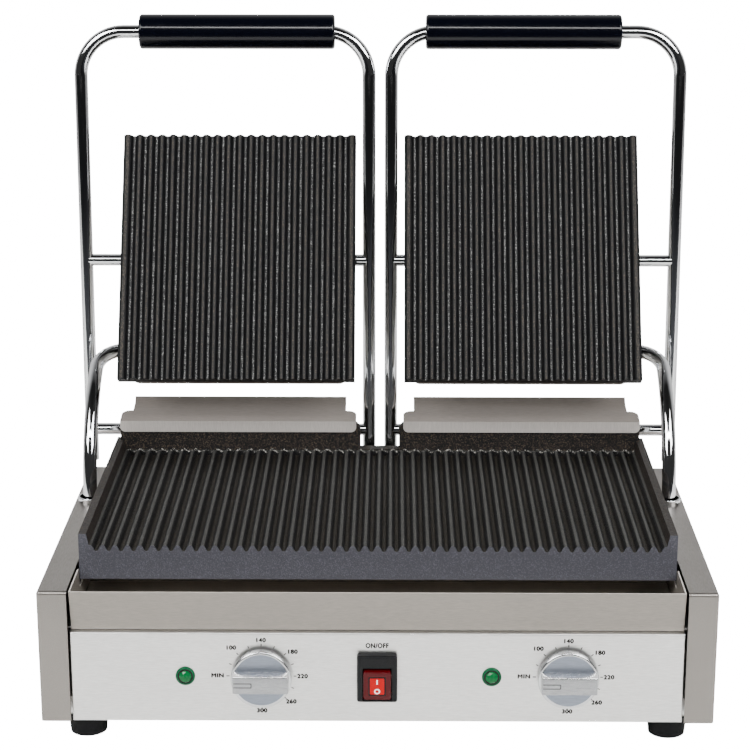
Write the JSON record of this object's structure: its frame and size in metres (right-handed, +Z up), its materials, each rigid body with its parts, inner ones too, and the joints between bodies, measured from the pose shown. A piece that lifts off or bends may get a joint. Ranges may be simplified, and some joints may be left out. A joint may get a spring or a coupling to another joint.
{
  "type": "double contact grill",
  "caption": "Countertop double contact grill: a wide ribbed lower plate, two ribbed lids on lifting U-frames with bar grips, cable tubes, drip tray and control panel.",
  "frame": {"origin": "middle of the bounding box's footprint, on the table, with both lids open", "axes": "+Z up, front panel faces -Y, +X to the right seen from the front"},
  "size_m": [0.561, 0.434, 0.5503],
  "materials": {
    "brushed_steel": "brushed stainless sheet",
    "guard_steel": "dull rolled stainless sheet",
    "tray_steel": "plain stainless sheet",
    "cast_iron": "dark seasoned cast iron, rough",
    "chrome": "bright chrome plate",
    "grip_black": "glossy black phenolic",
    "knob_aluminium": "brushed aluminium",
    "switch_black": "black nylon",
    "rocker_red": "translucent red",
    "lamp_green": "translucent green",
    "rubber": "black rubber",
    "screw_steel": "zinc-plated steel",
    "spring_steel": "oiled spring steel",
    "bracket_steel": "plain steel",
    "heater_steel": "heat-stained tube",
    "thermostat_steel": "zinc-plated steel",
    "lagging_fibre": "mineral wool blanket",
    "terminal_nylon": "natural nylon"
  },
  "bodies": {
    "base": {"base_pan": "brushed_steel", "cable_gland": "switch_black", "case_screws": "screw_steel", "foot_front_left": "rubber", "foot_front_right": "rubber", "foot_rear_left": "rubber", "foot_rear_right": "rubber", "foot_screws": "screw_steel", "front_panel": "brushed_steel", "guard_left": "guard_steel", "guard_right": "guard_steel", "heater_clamps": "heater_steel", "hinge_bracket_left_inner": "bracket_steel", "hinge_bracket_left_outer": "bracket_steel", "hinge_bracket_right_inner": "bracket_steel", "hinge_bracket_right_outer": "bracket_steel", "hinge_spring_left": "spring_steel", "hinge_spring_right": "spring_steel", "lagging": "lagging_fibre", "lower_heater_left": "heater_steel", "lower_heater_right": "heater_steel", "lower_plate": "cast_iron", "pilot_lamp_left": "lamp_green", "pilot_lamp_right": "lamp_green", "rear_panel": "brushed_steel", "reflector": "tray_steel", "side_panel_left": "brushed_steel", "side_panel_right": "brushed_steel", "stop_bumper": "rubber", "switch_housing": "switch_black", "terminal_block": "terminal_nylon", "thermostat_left": "thermostat_steel", "thermostat_right": "thermostat_steel", "tray_rails": "brushed_steel", "tube_ring_left": "chrome", "tube_ring_right": "chrome"},
    "frame_left": {"frame_bar_left": "chrome", "grip_left": "grip_black", "upper_rod_left": "chrome", "hinge_shaft_left": "chrome"},
    "lid_left": {"upper_plate_left": "cast_iron", "upper_cover_left": "brushed_steel", "cover_screws_left": "screw_steel", "upper_heater_left": "heater_steel", "tube_swivel_left": "chrome"},
    "tube_left": {"cable_tube_left": "chrome"},
    "knob_left": {"knob_left": "knob_aluminium"},
    "frame_right": {"frame_bar_right": "chrome", "grip_right": "grip_black", "upper_rod_right": "chrome", "hinge_shaft_right": "chrome"},
    "lid_right": {"upper_plate_right": "cast_iron", "upper_cover_right": "brushed_steel", "cover_screws_right": "screw_steel", "upper_heater_right": "heater_steel", "tube_swivel_right": "chrome"},
    "tube_right": {"cable_tube_right": "chrome"},
    "knob_right": {"knob_right": "knob_aluminium"},
    "rocker": {"rocker": "rocker_red"},
    "tray": {"drip_tray": "tray_steel"}
  },
  "joints": [
    {"name": "left_lift", "type": "hinge", "parent": "base", "child": "frame_left", "pos_m": [0, 0.142, 0.1605], "axis": [1, 0, 0], "range_deg": [0, 84.17]},
    {"name": "left_float", "type": "hinge", "parent": "frame_left", "child": "lid_left", "pos_m": [0, 0.1505, 0.3235], "axis": [1, 0, 0], "range_deg": [0, 33.94]},
    {"name": "left_tube_swivel", "type": "hinge", "parent": "lid_left", "child": "tube_left", "pos_m": [0, 0.11975, 0.24447], "axis": [1, 0, 0], "range_deg": [-92.61, 0]},
    {"name": "right_lift", "type": "hinge", "parent": "base", "child": "frame_right", "pos_m": [0, 0.142, 0.1605], "axis": [1, 0, 0], "range_deg": [0, 84.17]},
    {"name": "right_float", "type": "hinge", "parent": "frame_right", "child": "lid_right", "pos_m": [0, 0.1505, 0.3235], "axis": [1, 0, 0], "range_deg": [0, 33.94]},
    {"name": "right_tube_swivel", "type": "hinge", "parent": "lid_right", "child": "tube_right", "pos_m": [0, 0.11975, 0.24447], "axis": [1, 0, 0], "range_deg": [-92.61, 0]},
    {"name": "left_knob_turn", "type": "hinge", "parent": "base", "child": "knob_left", "pos_m": [-0.094, -0.194, 0.0563], "axis": [0, 1, 0], "range_deg": [0, 270]},
    {"name": "right_knob_turn", "type": "hinge", "parent": "base", "child": "knob_right", "pos_m": [0.155, -0.194, 0.0563], "axis": [0, 1, 0], "range_deg": [0, 270]},
    {"name": "rocker_tilt", "type": "hinge", "parent": "base", "child": "rocker", "pos_m": [0, -0.1935, 0.0521], "axis": [1, 0, 0], "range_deg": [-12, 0]},
    {"name": "tray_slide", "type": "slide", "parent": "base", "child": "tray", "axis": [0, -1, 0], "range_m": [0, 0.1]}
  ],
  "couplings": [
    {"joint": "left_float", "follows": "left_lift", "ratio": 0.40303},
    {"joint": "left_tube_swivel", "follows": "left_lift", "ratio": -1.1001},
    {"joint": "right_float", "follows": "right_lift", "ratio": 0.40303},
    {"joint": "right_tube_swivel", "follows": "right_lift", "ratio": -1.1001}
  ]
}
